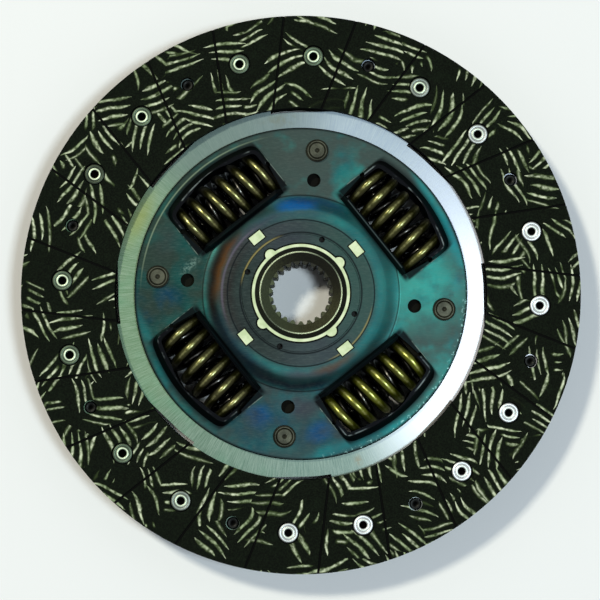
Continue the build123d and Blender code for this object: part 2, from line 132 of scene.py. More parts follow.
class Tree:
    """A node tree, and the one way in which nodes are added to it."""

    def __init__(self, tree):
        self.tree = tree

    def node(self, kind, settings=None, inputs=None):
        node = self.tree.nodes.new(kind)
        for name, value in (settings or {}).items():
            if name == "stops":
                self.set_stops(node.color_ramp, value)
            else:
                setattr(node, name, value)
        places = dict(enumerate(inputs)) if isinstance(inputs, (list, tuple)) else inputs or {}
        for name, value in places.items():
            if isinstance(value, Number):
                value = value.socket
            if isinstance(value, bpy.types.NodeSocket):
                self.tree.links.new(value, node.inputs[name])
            else:
                node.inputs[name].default_value = value
        return node

    def set_stops(self, ramp, stops):
        while len(ramp.elements) < len(stops):
            ramp.elements.new(1.0)
        for element, (place, colour) in zip(ramp.elements, stops):
            element.position = place
            element.color = colour

    def number(self, kind, settings=None, inputs=None):
        return Number(self, self.node(kind, settings, inputs).outputs[0])


def tone(red, green, blue):
    """A screen colour, 0 to 255 each, as the linear colour that shows it."""
    steps = [value / 255 for value in (red, green, blue)]
    linear = [s / 12.92 if s <= 0.04045 else ((s + 0.055) / 1.055) ** 2.4 for s in steps]
    return (*linear, 1.0)


# ---- Finishes --------------------------------------------------------------------


class Finish(Tree):
    """A procedural material whose patterns stand in millimetres on the object's coordinates."""

    def __init__(self, name, **constants):
        self.material = bpy.data.materials.new(name)
        self.material.use_nodes = True
        super().__init__(self.material.node_tree)
        self.shader = self.tree.nodes["Principled BSDF"]
        for socket, value in constants.items():
            self.shader.inputs[socket.replace("_", " ")].default_value = value
        here = self.node("ShaderNodeTexCoord").outputs["Object"]
        self.place = self.vector("SCALE", {0: here, "Scale": 1 / MM})
        self.x, self.y, self.z = self.split(self.place)
        self.radius = (self.x * self.x + self.y * self.y).math("SQRT")
        self.unit = self.vector("DIVIDE", [self.place, self.join(self.radius, self.radius, 1.0)])

    def vector(self, operation, inputs):
        return self.node("ShaderNodeVectorMath", {"operation": operation}, inputs).outputs[0]

    def split(self, vector):
        node = self.node("ShaderNodeSeparateXYZ", None, [vector])
        return [Number(self, socket) for socket in node.outputs]

    def join(self, x, y, z):
        return self.node("ShaderNodeCombineXYZ", None, [x, y, z]).outputs[0]

    def mix(self, factor, first, second):
        inputs = {0: factor, 6: first, 7: second}
        return self.node("ShaderNodeMix", {"data_type": "RGBA"}, inputs).outputs[2]

    def layers(self, colour, *tints):
        """The colour under layers of (how much, tint), the last of them on top."""
        for amount, tint in tints:
            colour = self.mix(amount, colour, tint)
        return colour

    def ramp(self, factor, *stops):
        return self.node("ShaderNodeValToRGB", {"stops": stops}, [factor]).outputs[0]

    def noise(self, size, detail, vector=None, roughness=0.55):
        """Soft noise about 0.5, whose lumps are about size millimetres across."""
        places = {"Scale": 1 / size, "Detail": detail, "Roughness": roughness}
        places["Vector"] = vector or self.place
        return self.number("ShaderNodeTexNoise", None, places)

    def shifted(self, x, y):
        return self.vector("ADD", [self.place, (x, y, 0.0)])

    def toward(self, angle):
        """How far a point faces a direction seen from the axis: 1 straight ahead, -1 behind."""
        ahead = (cos(radians(angle)), sin(radians(angle)), 0.0)
        node = self.node("ShaderNodeVectorMath", {"operation": "DOT_PRODUCT"}, [self.unit, ahead])
        return Number(self, node.outputs["Value"])

    def spot(self, angle, radius, wide, tall, turned=0.0):
        """A soft oval spot: 1 in its middle, 0 at its edge. Wide is its reach outwards."""
        x = radius * cos(radians(angle))
        y = radius * sin(radians(angle))
        east, north = cos(radians(angle + turned)), sin(radians(angle + turned))
        out = (self.x - x) * east + (self.y - y) * north
        side = (self.y - y) * east - (self.x - x) * north
        distance = ((out / wide) * (out / wide) + (side / tall) * (side / tall)).math("SQRT")
        return distance.between(1.0, 0.0)

    def arc(self, radius, reach, angle, end, full):
        """A thin line round the axis on one side. End and full are values of toward."""
        return self.radius.near(radius, reach) * self.toward(angle).between(end, full)

    def wear(self, colour, roughness, relief, depth):
        """Feeds what varies over the surface. Depth is the relief's height in millimetres."""
        self.tree.links.new(colour, self.shader.inputs["Base Color"])
        self.tree.links.new(roughness.socket, self.shader.inputs["Roughness"])
        bump_inputs = {"Strength": 1.0, "Distance": depth * MM, "Height": relief}
        bump = self.node("ShaderNodeBump", None, bump_inputs)
        self.tree.links.new(bump.outputs[0], self.shader.inputs["Normal"])
        return self.material


def dress(material, *names):
    """Gives CAD nodes a finish by their material slots alone."""
    for name in names:
        mesh = solids[name].data
        mesh.materials.clear()
        mesh.materials.append(material)


# ---- Friction facings ------------------------------------------------------------


def yarn_strokes(finish, shift, cell, spacing, half_length, half_width, bare_share):
    """Groups of parallel, slightly bowed strokes, one group to a cell, each turned its own way.

    Gives how deep a point lies in a stroke, from 0 at its edge to 1 on its middle line, and
    how far the point lies from the middle of its group.
    """
    wobbles = [
        # changes to a millimetre, reach
        (0.06, 7.0),
        (0.5, 0.5),
    ]
    bow = 0.035  # a stroke's greatest bend, over the square of its length
    slip_reach = 4.0  # how far the strokes of a group slide along each other
    missing_share = 0.1
    place = finish.shifted(*shift)
    for scale, reach in wobbles:
        inputs = {"Vector": place, "Scale": scale, "Detail": 1.0}
        waves = finish.node("ShaderNodeTexNoise", None, inputs)
        bend = finish.vector("SUBTRACT", [waves.outputs["Color"], (0.5, 0.5, 0.5)])
        bend = finish.vector("SCALE", {0: bend, "Scale": reach})
        place = finish.vector("ADD", [place, bend])
    settings = {"voronoi_dimensions": "2D"}
    inputs = {"Vector": place, "Scale": 1 / cell, "Randomness": 0.75}
    cells = finish.node("ShaderNodeTexVoronoi", settings, inputs)
    offset = finish.vector("SUBTRACT", [place, cells.outputs["Position"]])
    x, y, _ = finish.split(offset)
    chance_turn, chance_bow, chance_size = finish.split(cells.outputs["Color"])
    turn = chance_turn * (2 * pi)
    along = x * turn.math("COSINE") + y * turn.math("SINE")
    across = y * turn.math("COSINE") - x * turn.math("SINE")
    across = across + (chance_bow - 0.5) * bow * along * along
    line = (across / spacing).math("ROUND")
    key = finish.join(chance_turn * 91.0, line, chance_bow * 37.0)
    settings = {"noise_dimensions": "3D"}
    chances = finish.node("ShaderNodeTexWhiteNoise", settings, {"Vector": key})
    slip, stretch, missing = finish.split(chances.outputs["Color"])
    reach = half_length * (0.6 + 0.55 * stretch)
    run = abs(along - (slip - 0.5) * slip_reach) / reach
    patch = finish.noise(1.6, 2.0, finish.shifted(shift[1], shift[0]))
    width = half_width * (1.0 - run * run * run) * (0.45 + 1.1 * patch)
    depth = 1.0 - abs(across - line * spacing) / width.most(0.02)
    few = abs(line - 0.3).between(1.85, 1.6)  # three strokes to a group, and a fainter fourth
    kept = missing.between(missing_share, missing_share + 0.02)
    kept = kept * chance_size.between(bare_share - 0.02, bare_share)
    depth = depth.most(0.0) * run.between(1.0, 0.94) * few * kept
    return depth, (x * x + y * y).math("SQRT")


def friction_finish(name, shift, face_height):
    """Dark moulded yarn material, with pale strokes where yarns come to the friction face, and
    painted shade, near black, off that face.
    """
    finish = Finish(name, Specular_IOR_Level=0.1)
    level = abs(finish.z - face_height).between(0.25, 0.1)
    first, away = yarn_strokes(
        finish,
        shift=(31.0 + shift, 17.0),
        cell=17.5,
        spacing=3.3,
        half_length=8.6,
        half_width=0.95,
        bare_share=0.03,
    )
    second, _ = yarn_strokes(
        finish,
        shift=(7.0, 53.0 + shift),
        cell=16.5,
        spacing=3.1,
        half_length=7.6,
        half_width=0.85,
        bare_share=0.1,
    )
    depth = first.most(second * away.between(6.6, 8.4)) * level
    strokes = depth.between(0.0, 0.3)
    patches = finish.noise(1.8, 3.0, finish.shifted(3.0, 9.0)).between(0.28, 0.66)
    core = depth.between(0.25, 0.8) * patches
    grain = finish.noise(0.55, 3.0)
    cloud = finish.noise(9.0, 3.0)
    body = finish.mix(grain.between(0.35, 0.75), tone(3, 6, 2), tone(17, 25, 14))
    faded = finish.noise(7.0, 2.0).between(0.35, 0.65)
    pale = finish.mix(faded, tone(150, 164, 128), tone(216, 222, 194))
    colour = finish.layers(
        body,
        (cloud.between(0.55, 0.8) * 0.3, tone(22, 33, 20)),
        (strokes * 0.85, tone(54, 66, 38)),
        (core, pale),
        # painted shade: near black off the friction face, in the grooves, holes and on the sides
        ((1.0 - level) * 0.9, tone(1, 1, 1)),
    )
    relief = grain * 0.25 - strokes * 0.7
    return finish.wear(colour, 0.86 - core * 0.3, relief, 0.12)


# ---- Cushion plate ---------------------------------------------------------------


def brushed_steel_finish():
    """The cushion plate's bright strip steel, with fine radial grinding marks, and painted
    reflections and shade that change round the ring.
    """
    finish = Finish("cushion_steel_finish", Metallic=0.75)
    marks_round = 190.0  # how fast the marks change round the disc
    marks_outwards = 0.12  # and how slowly along their own length
    around = finish.vector("SCALE", {0: finish.unit, "Scale": marks_round})
    flat = finish.join(finish.x, finish.y, 0.0)
    outwards = finish.vector("SCALE", {0: flat, "Scale": marks_outwards})
    marks = finish.noise(1.0, 4.0, finish.vector("ADD", [around, outwards]), 0.7)
    # painted light by direction: darker and greener to the west, darker to the south, a white
    # highlight to the east, a lilac reflection to the north, and a shaded band at 112 degrees
    west = finish.toward(190).between(-0.1, 0.95)
    south = finish.toward(258).between(0.65, 0.95)
    east = finish.toward(-6).between(0.35, 0.95)
    north = finish.toward(55).between(0.55, 1.0)
    # greener patches of painted reflection on the west side
    green = finish.noise(14.0, 2.0).between(0.5, 0.75) * 0.35 * west
    shaded = finish.toward(112).between(0.8, 0.98)
    olive = finish.spot(155, 72, 6, 18)
    smudge = finish.spot(97, 71.0, 4.5, 11.0) * finish.noise(2.2, 3.0).between(0.3, 0.7)
    rust = finish.spot(289, 71.0, 3.4, 2.6) * finish.noise(1.1, 3.0).between(0.3, 0.55)
    steel = finish.layers(
        finish.mix(west, tone(106, 124, 120), tone(78, 106, 78)),
        (south * 0.6, tone(62, 84, 74)),
        (east, tone(216, 216, 226)),
        (north * 0.7, tone(138, 148, 170)),
        (marks.between(0.3, 0.75) * 0.24, tone(190, 202, 192)),
        (green, tone(86, 128, 104)),
        (shaded * 0.6, tone(70, 84, 88)),
        (olive * 0.6, tone(116, 122, 60)),
        (smudge * 0.7, tone(92, 98, 90)),
        (rust * 0.75, tone(112, 108, 92)),
    )
    return finish.wear(steel, 0.34 + marks * 0.2, marks, 0.02)


# ---- Heat-tinted plates ----------------------------------------------------------


def heat_level(finish):
    """Thickness of the oxide film: a level for the plate and the few places that got hotter."""
    outside = finish.radius.between(36.0, 42.0)
    clouds = finish.noise(26.0, 2.0, finish.shifted(11.0, 40.0)) - 0.5
    level = 0.76 + clouds * (0.16 + 0.34 * outside)
    level = level + (finish.noise(7.0, 2.0) - 0.5) * 0.1
    marks = [
        # angle, radius, wide, tall, change of level
        (250, 52, 9, 9, -0.16),
        (280, 56, 9, 14, -0.2),
        (182, 52, 12, 9, -0.1),
        (0, 48, 22, 26, 0.08),
        (320, 63, 6, 26, 0.12),
        (90, 56, 14, 18, 0.2),
    ]
    for angle, radius, wide, tall, change in marks:
        level = level + finish.spot(angle, radius, wide, tall) * change
    return level


def heat_bands(finish, tint):
    """Tints that follow the raised band round the plate's centre: oxide colours, and painted shade
    on the band's slope.
    """
    wander = (finish.noise(8.0, 2.0) - 0.5) * 3.0
    bands = [
        # angle, half its length in degrees, radius, reach, strength, colour
        (170, 75, 31.0, 5.5, 0.9, tone(46, 34, 34)),
        (172, 48, 36.0, 4.5, 0.97, tone(26, 11, 5)),
        (160, 30, 34.2, 2.6, 0.9, tone(84, 50, 10)),
        # painted shade on the band's slope
        (126, 24, 37.0, 4.0, 0.8, tone(18, 18, 16)),
        (110, 50, 32.5, 4.0, 0.6, tone(44, 46, 60)),
        (84, 28, 37.0, 4.2, 1.0, tone(0, 44, 84)),
        (92, 17, 35.6, 2.6, 0.95, tone(0, 80, 142)),
        (75, 50, 22.0, 3.0, 0.5, tone(38, 42, 66)),
        (68, 18, 36.0, 4.0, 0.8, tone(6, 56, 62)),
        # painted shade on the band's slope
        (38, 34, 37.6, 4.0, 0.6, tone(6, 40, 40)),
        (222, 36, 35.0, 5.0, 0.9, tone(8, 24, 42)),
        (262, 44, 37.2, 4.8, 0.97, tone(2, 11, 26)),
        (325, 36, 37.4, 3.6, 0.8, tone(14, 40, 40)),
        (280, 30, 32.8, 3.2, 0.7, tone(54, 42, 56)),
        (296, 22, 32.0, 2.8, 0.7, tone(66, 48, 34)),
    ]
    for angle, spread, radius, reach, strength, colour in bands:
        band = (finish.radius + wander).near(radius, reach) * strength
        end, full = cos(radians(spread)), cos(radians(spread * 0.3))
        tint = finish.mix(band * finish.toward(angle).between(end, full), tint, colour)
    return tint


def oxide_clouds(finish):
    """The oxide's broad tints, apart from what follows the pressing's edges, with painted shade to
    the west and painted reflections beside the windows' rims, and its greyness.
    """
    tint = finish.ramp(
        heat_level(finish),
        (0.05, tone(78, 58, 30)),
        (0.18, tone(58, 42, 30)),
        (0.30, tone(40, 34, 36)),
        (0.42, tone(44, 42, 48)),
        (0.52, tone(8, 34, 64)),
        (0.60, tone(10, 62, 100)),
        (0.70, tone(20, 66, 72)),
        (0.82, tone(33, 100, 96)),
        (0.95, tone(48, 62, 58)),
    )
    tint = heat_bands(finish, tint)
    centre = finish.layers(
        finish.mix(finish.noise(9.0, 2.0), tone(38, 36, 44), tone(48, 48, 50)),
        (finish.toward(15).between(0.0, 0.9) * 0.7, tone(36, 58, 50)),
        # browner and darker to the west: oxide tint and painted shade
        (finish.toward(195).between(0.1, 0.85) * 0.9, tone(27, 21, 19)),
    )
    outside = finish.radius.between(38.5, 40.0)
    vivid = finish.spot(5, 50, 20, 30).most(finish.spot(318, 63, 8, 34))
    vivid = vivid.most(finish.spot(262, 58, 12, 30) * 0.7).most(finish.spot(30, 63.8, 3.6, 34))
    grey = finish.noise(15.0, 3.0, finish.shifted(70.0, 5.0)).between(0.3, 0.56)
    grey = grey * (0.2 + 0.75 * outside) * (1.0 - 0.75 * vivid)
    dull = finish.spot(158, 58, 9, 14).most(finish.spot(268, 46, 7, 14))
    # painted shade: the outer part darker to the west
    west = finish.toward(172).between(0.1, 0.9) * outside
    mottled = finish.noise(9.0, 3.0).between(0.25, 0.6)
    tint = finish.layers(
        tint,
        (finish.radius.between(32.0, 28.5) * 0.9, centre),
        (grey, tone(48, 56, 54)),
        (dull * 0.7, tone(56, 55, 62)),
        (west * 0.6, tone(12, 34, 24)),
        (finish.spot(2, 50, 30, 26) * outside * mottled * 0.6, tone(46, 128, 118)),
    )
    # painted reflections: bright teal bands just outside the windows' outer lips
    rim_reflections = [
        # angle, radius, wide, tall, strength
        (27, 63.4, 3.8, 34, 0.7),
        (292, 63.4, 4.5, 44, 0.65),
        (204, 63.6, 3.6, 34, 0.4),
    ]
    for angle, radius, wide, tall, strength in rim_reflections:
        rim_reflection = finish.spot(angle, radius, wide, tall) * finish.noise(11.0, 2.0).between(0.2, 0.5)
        tint = finish.mix(rim_reflection * strength, tint, tone(16, 112, 116))
    south = finish.toward(270).between(0.72, 1.0) * outside
    return finish.mix(south * 0.4, tint, tone(20, 32, 44)), grey


def window_distance(finish):
    """Signed distance outside the nearest window's lip, and the point's place in that window.

    It grows three times as fast past the window's sides as it does towards the rim.
    """
    lip_rim, lip_foot, lip_side = 61.0, 37.0, 22.0
    turn = radians(window_angle)
    ahead = abs(finish.x * cos(turn) + finish.y * sin(turn))
    beside = abs(finish.y * cos(turn) - finish.x * sin(turn))
    out = ahead.most(beside)
    side = ahead.least(beside)
    over = (finish.radius - lip_rim).most(lip_foot - out)
    past = side - lip_side
    inside = over.most(past).least(0.0)
    over = over.most(0.0)
    past = past.most(0.0) * 3.0
    return (over * over + past * past).math("SQRT") + inside, out, side


def window_tints(finish, tint, distance, out, side):
    """Painted shade on and round the window walls, on the lips' tops and along the pressing's
    creases, with painted highlights along edges and bends.
    """
    height = abs(finish.z - flange_middle)
    # painted shade on and round the window walls, and along their inner foot
    walls = distance.between(4.8, 1.3) * out.between(36.2, 38.2)
    foot = out.between(35.0, 36.8) * out.between(38.6, 37.4) * side.between(24.0, 21.0)
    tint = finish.mix(walls.most(foot) * 0.95, tint, tone(7, 8, 11))
    # painted shade along the pressing's creases
    creases = [
        # radius, reach, strength
        (24.5, 0.6, 0.95),
        (29.6, 0.5, 0.95),
        (39.6, 0.5, 0.75),
    ]
    for radius, reach, strength in creases:
        tint = finish.mix(finish.radius.near(radius, reach) * strength, tint, tone(14, 18, 20))
    # the lips' tops, painted near black as shade
    lip = height.between(lip_edge - 0.6, lip_edge - 0.2)
    # painted highlight along the lips' top edges
    lip_highlight = lip * distance.between(-0.9, -0.65) * distance.between(-0.2, -0.4)
    lip_highlight = lip_highlight * finish.noise(7.0, 4.0).between(0.48, 0.64)
    # painted highlight on the first window's inner lip
    foot_glint = out.near(38.1, 0.4) * side.between(20.0, 19.0) * height.between(10.0, 10.4)
    foot_glint = foot_glint * finish.toward(38).between(0.7, 0.9)
    # painted highlight along the plate edge at the window sides
    flank_highlight = side.near(22.9, 0.3) * out.between(37.0, 39.0) * out.between(54.0, 51.0)
    flank_highlight = flank_highlight * finish.noise(4.0, 3.0).between(0.42, 0.58)
    return finish.layers(
        tint,
        # painted highlights along bends: gold at 24.3 mm, violet at 31.8 mm, gold at 29.1 mm
        (finish.arc(24.3, 0.6, 140, 0.82, 0.97) * 0.7, tone(128, 116, 70)),
        (finish.arc(31.8, 0.8, 160, 0.7, 0.95) * 0.5, tone(88, 80, 94)),
        (finish.arc(29.1, 0.5, -40, 0.85, 0.98) * 0.6, tone(122, 108, 64)),
        (lip * 0.95, tone(8, 9, 12)),
        (lip_highlight * 0.6, tone(104, 112, 112)),
        (foot_glint * 0.8, tone(120, 140, 140)),
        (flank_highlight * 0.6, tone(104, 116, 108)),
    )


def edge_tints(finish, tint, out, side):
    """The plate's rim, darker at its edge, with a painted highlight along it to the upper left,
    chipped places painted bright as glints to the lower right, a scuff, and painted shade in the
    seats round what it holds and round the vent holes.
    """
    # chipped places, painted bright as glints to the lower right
    chip_glints = finish.radius.between(64.6, 65.7) * finish.toward(-38).between(0.6, 0.95)
    chip_glints = chip_glints * finish.noise(1.0, 4.0).between(0.56, 0.68)
    # painted shade in the seats round the lugs, the bush's lobes and the bush
    slot = (side - lug_half_width).most(abs(out - lug_circle) - lug_half_depth)
    lobe = ((out - lobe_circle) * (out - lobe_circle) + side * side).math("SQRT") - lobe_seat_radius
    seat = slot.least(lobe).least(finish.radius - bush_seat_radius)
    tint = finish.layers(
        tint,
        (finish.radius.between(65.9, 66.5) * 0.7, tone(20, 27, 27)),
        # painted highlight along the rim to the upper left
        (finish.arc(64.6, 0.5, 140, 0.75, 0.97) * 0.5, tone(120, 134, 112)),
        (chip_glints * 0.7, tone(130, 170, 166)),
        (seat.between(0.6, 0.3) * 0.95, tone(6, 7, 7)),
    )
    # painted shade round the vent holes
    for number in range(window_count):
        angle = vent_hole_angle + 360 / window_count * number
        vent = finish.spot(angle, vent_hole_circle, vent_shade_radius, vent_shade_radius)
        tint = finish.mix(vent.between(0.1, 0.3) * 0.95, tint, tone(4, 5, 6))
    scuff = finish.spot(166, 46.0, 7.0, 2.6, 55) * finish.noise(1.2, 3.0).between(0.4, 0.6)
    return finish.mix(scuff * 0.5, tint, tone(110, 134, 126))


def tinted_plate_finish(name):
    """Oxide tints from heat on pressed steel: straw, brown, violet, blue and teal, with painted
    shade and highlights at the windows, bends and rim.
    """
    finish = Finish(name, Metallic=0.82, Specular_IOR_Level=0.1)
    tint, grey = oxide_clouds(finish)
    streak = finish.vector("MULTIPLY", [finish.place, (1.0, 5.0, 1.0)])
    fine = finish.noise(2.2, 3.0, streak, 0.65)
    tint = finish.mix(fine.between(0.4, 0.8) * 0.12, tint, tone(98, 110, 104))
    distance, out, side = window_distance(finish)
    tint = window_tints(finish, tint, distance, out, side)
    tint = edge_tints(finish, tint, out, side)
    bend = finish.radius.near(35.5, 4.0)
    # painted shade on the bend round the raised band, gone towards the north-east
    tint = finish.mix(bend * finish.toward(230).between(-0.7, 0.4) * 0.5, tint, tone(8, 16, 16))
    roughness = 0.3 + 0.16 * fine + 0.1 * grey + 0.22 * bend
    return finish.wear(tint, roughness, fine, 0.02)


# ---- Springs, hub, pins, plastics and rivets -------------------------------------


def spring_steel_finish(name, lit_from, lit_to, bright, oil, sheen):
    """Oiled spring wire, painted lit on the outside of each coil and dark as shade nearer its axis.

    It is painted lit where its distance from the spring's own axis lies above the first given
    distance, fully so from the second, and carries a painted highlight streak near the second.
    """
    finish = Finish(name, Metallic=0.9, Coat_Weight=0.35, Coat_Roughness=0.16)
    _, out, _ = window_distance(finish)
    away = out - spring_circle
    up = finish.z - flange_middle
    reach = (away * away + up * up).math("SQRT")
    # painted light: the outside of each pass lit olive, the rest dark as shade
    lit_outside = reach.between(lit_from, lit_to)
    grain = finish.noise(1.8, 3.0)
    spread = finish.noise(24.0, 2.0)
    yellow = finish.toward(-45).between(0.3, 1.0) * oil
    olive = finish.mix(yellow, tone(72, 72, 30), tone(108, 114, 14))
    olive = finish.mix(spread.between(0.4, 0.7) * 0.5, olive, tone(58, 54, 28))
    olive = finish.mix(oil, tone(30, 28, 30), olive)
    # painted shade on the springs' outer parts to the west
    deep = out.between(53.0, 58.0) * finish.toward(165).between(0.0, 0.8)
    # painted highlight streak along the outside of each pass
    streak = reach.between(lit_to - 0.12, lit_to - 0.02) * grain.between(0.25, 0.6)
    streak = streak * (1.0 - deep)
    colour = finish.layers(
        finish.mix(lit_outside, tone(8, 7, 4), olive),
        (deep * 0.7, tone(6, 6, 3)),
        (streak * bright, sheen),
    )
    return finish.wear(colour, 0.24 + grain * 0.18, grain, 0.01)


def speckled_steel_finish(name, dark, light):
    """Plain steel with fine speckle and soft clouds between two tones."""
    finish = Finish(name, Metallic=0.8)
    grain = finish.noise(0.5, 3.0)
    cloud = finish.noise(5.0, 3.0)
    colour = finish.mix(cloud.between(0.3, 0.7) * 0.6 + grain * 0.3, dark, light)
    return finish.wear(colour, 0.34 + grain * 0.14, grain, 0.02)


def hub_finish():
    """Dark phosphated forging, turned bright on the land round the spline's mouth, with painted
    highlights and shade by direction and painted shade in the gap round the bush.
    """
    finish = Finish("hub_steel_finish", Metallic=0.7)
    grain = finish.noise(0.45, 4.0, None, 0.7)
    cloud = finish.noise(6.0, 2.0)
    # painted highlight: olive clouds lighter to the east
    east = finish.toward(-50).between(-0.6, 0.8)
    land = finish.z.between(hub_top - 0.12, hub_top - 0.03) * finish.radius.between(16.0, 16.3)
    # painted highlight on the turned land, to the upper left and lower right
    sheen = finish.toward(135).between(0.2, 0.9).most(finish.toward(-45).between(0.1, 0.9))
    turned = finish.mix(sheen, tone(62, 68, 52), tone(160, 166, 134))
    chamfer = finish.radius.between(16.6, 16.75) * finish.z.between(hub_top - 2.2, hub_top - 1.9)
    # painted shade in the gap round the bush
    gap_shade = finish.radius.between(18.6, 19.2)
    colour = finish.layers(
        finish.mix(grain.between(0.35, 0.7), tone(24, 25, 17), tone(74, 76, 52)),
        (cloud * 0.4 * east, tone(74, 72, 40)),
        # painted highlight to the west, painted shade to the north-east
        (finish.toward(205).between(0.2, 0.9) * 0.5, tone(74, 86, 64)),
        (finish.toward(55).between(0.1, 0.9) * 0.75, tone(15, 14, 12)),
        (land, turned),
        (chamfer * 0.85, tone(13, 14, 12)),
        (gap_shade * 0.9, tone(15, 13, 10)),
    )
    return finish.wear(colour, 0.5 - land * 0.26 + grain * 0.16 + gap_shade * 0.35, grain, 0.05)


def moulded_finish(name, lit_height, shaded_radius=0.0):
    """Natural glass-filled plastic, cream with a green cast.

    It is painted dark as shade nearer than the given height to the flange's middle, and
    within the given radius of the axis.
    """
    finish = Finish(name, Specular_IOR_Level=0.15)
    grain = finish.noise(0.7, 3.0)
    cloud = finish.noise(4.0, 2.0)
    # painted shade: dark low down by the flange's middle and round the inner edge next to the hub
    recess_shade = abs(finish.z - flange_middle).between(lit_height, lit_height - 1.2)
    recess_shade = recess_shade.most(finish.radius.between(shaded_radius, shaded_radius - 0.2))
    colour = finish.layers(
        finish.mix(cloud.between(0.3, 0.7), tone(190, 206, 162), tone(222, 232, 196)),
        (grain.between(0.5, 0.8) * 0.3, tone(182, 194, 150)),
        (recess_shade, tone(10, 10, 8)),
    )
    return finish.wear(colour, 0.42 + grain * 0.2, grain, 0.02)


def rivet_finish():
    """Rivet steel, painted bright to the lower right as highlight, with a painted highlight on its
    inner ring and painted shade in its bore.
    """
    finish = Finish("rivet_finish", Metallic=0.75)
    grain = finish.noise(0.5, 3.0)
    # painted highlight to the lower right, painted shade to the upper left
    bright = finish.toward(-30).between(-0.35, 0.75)
    soiled = finish.spot(150, rivet_circle, 7.0, 7.0).between(0.0, 0.4)
    height = abs(finish.z - (facing_top + facing_foot) / 2)
    head_foot = (facing_top - facing_foot) / 2 - counterbore_depth
    # painted highlight on the head's inner ring
    ring = height.near(head_foot + 0.8, 0.05) * (1.0 - 0.6 * bright)
    # painted shade in the bore
    bore_shade = height.between(head_foot + 0.4, head_foot + 0.25)
    steel = finish.layers(
        finish.mix(bright, tone(72, 86, 70), tone(192, 194, 196)),
        (grain.between(0.5, 0.8) * 0.5, tone(96, 108, 90)),
        (soiled * 0.75, tone(40, 46, 36)),
        (ring * 0.8, tone(196, 208, 182)),
        (bore_shade, tone(8, 9, 7)),
    )
    return finish.wear(steel, 0.3 + grain * 0.25, grain, 0.02)


outer_spring_steel = spring_steel_finish(
    "outer_spring_finish",
    lit_from=9.9,
    lit_to=11.2,
    bright=0.5,
    oil=1.0,
    sheen=tone(186, 184, 122),
)
inner_spring_steel = spring_steel_finish(
    "inner_spring_finish",
    lit_from=5.2,
    lit_to=6.3,
    bright=0.6,
    oil=0.15,
    sheen=tone(120, 116, 112),
)
front_friction = friction_finish("front_friction_finish", shift=0.0, face_height=facing_top)
rear_friction = friction_finish("rear_friction_finish", shift=140.0, face_height=facing_foot)
pin_steel = speckled_steel_finish("pin_steel_finish", tone(30, 31, 24), tone(78, 79, 66))
washer_steel = speckled_steel_finish("washer_steel_finish", tone(96, 98, 92), tone(150, 152, 146))
bush_plastic = moulded_finish("bush_plastic_finish", lit_height=6.6, shaded_radius=18.65)
washer_plastic = moulded_finish("washer_plastic_finish", lit_height=8.0)
rivet_steel = rivet_finish()

dress(front_friction, "front_facing")
dress(rear_friction, "rear_facing")
dress(brushed_steel_finish(), "cushion_plate")
dress(tinted_plate_finish("tinted_plate_finish"), "front_plate", "rear_plate")
dress(hub_finish(), "hub")
dress(bush_plastic, "front_bush", "rear_bush")
dress(washer_plastic, "front_friction_washer", "rear_friction_washer")
dress(washer_steel, "rear_thrust_washer", "cone_spring")
dress(pin_steel, *[f"stop_pin_{k}" for k in range(1, window_count + 1)])


# ---- Shapes that repeat ------------------------------------------------------------


class Shape(Tree):
    """A geometry tree with named inputs, ending in Realize Instances and Set Material."""

    def __init__(self, name, **inputs):
        tree = bpy.data.node_groups.new(name, "GeometryNodeTree")
        super().__init__(tree)
        kinds = {float: "NodeSocketFloat", int: "NodeSocketInt"}
        self.identifiers = {}
        for label, kind in {**inputs, "material": bpy.types.Material}.items():
            kind = kinds.get(kind) or f"NodeSocket{kind.__name__}"
            item = tree.interface.new_socket(label, in_out="INPUT", socket_type=kind)
            self.identifiers[label] = item.identifier
        tree.interface.new_socket("geometry", in_out="OUTPUT", socket_type="NodeSocketGeometry")
        self.entry = tree.nodes.new("NodeGroupInput")

    def given(self, label):
        return Number(self, self.entry.outputs[label])

    def vector(self, x, y, z):
        return self.node("ShaderNodeCombineXYZ", None, [x, y, z]).outputs[0]

    def geometry(self, kind, **inputs):
        """The geometry or curve that a node gives for these inputs."""
        places = {label.replace("_", " "): value for label, value in inputs.items()}
        return self.node(kind, None, places).outputs[0]

    def finish(self, geometry):
        real = self.geometry("GeometryNodeRealizeInstances", Geometry=geometry)
        material = self.entry.outputs["material"]
        done = self.geometry("GeometryNodeSetMaterial", Geometry=real, Material=material)
        end = self.tree.nodes.new("NodeGroupOutput")
        self.tree.links.new(done, end.inputs[0])
        return self

    def make(self, name, **values):
        """The shape with these inputs, as a plain mesh object of its own."""
        holder = bpy.data.objects.new(name + "_holder", bpy.data.meshes.new(name + "_holder"))
        bpy.context.scene.collection.objects.link(holder)
        modifier = holder.modifiers.new("shape", "NODES")
        modifier.node_group = self.tree
        for label, value in values.items():
            modifier[self.identifiers[label]] = value
        holder.update_tag()
        ready = holder.evaluated_get(bpy.context.evaluated_depsgraph_get())
        mesh = bpy.data.meshes.new_from_object(ready)
        holder.modifiers.remove(modifier)
        bpy.data.objects.remove(holder)
        mesh.name = name
        for polygon in mesh.polygons:
            polygon.use_smooth = True
        return place_mesh(mesh)


def place_mesh(mesh):
    """An object of its mesh's name in the scene."""
    piece = bpy.data.objects.new(mesh.name, mesh)
    bpy.context.scene.collection.objects.link(piece)
    return piece


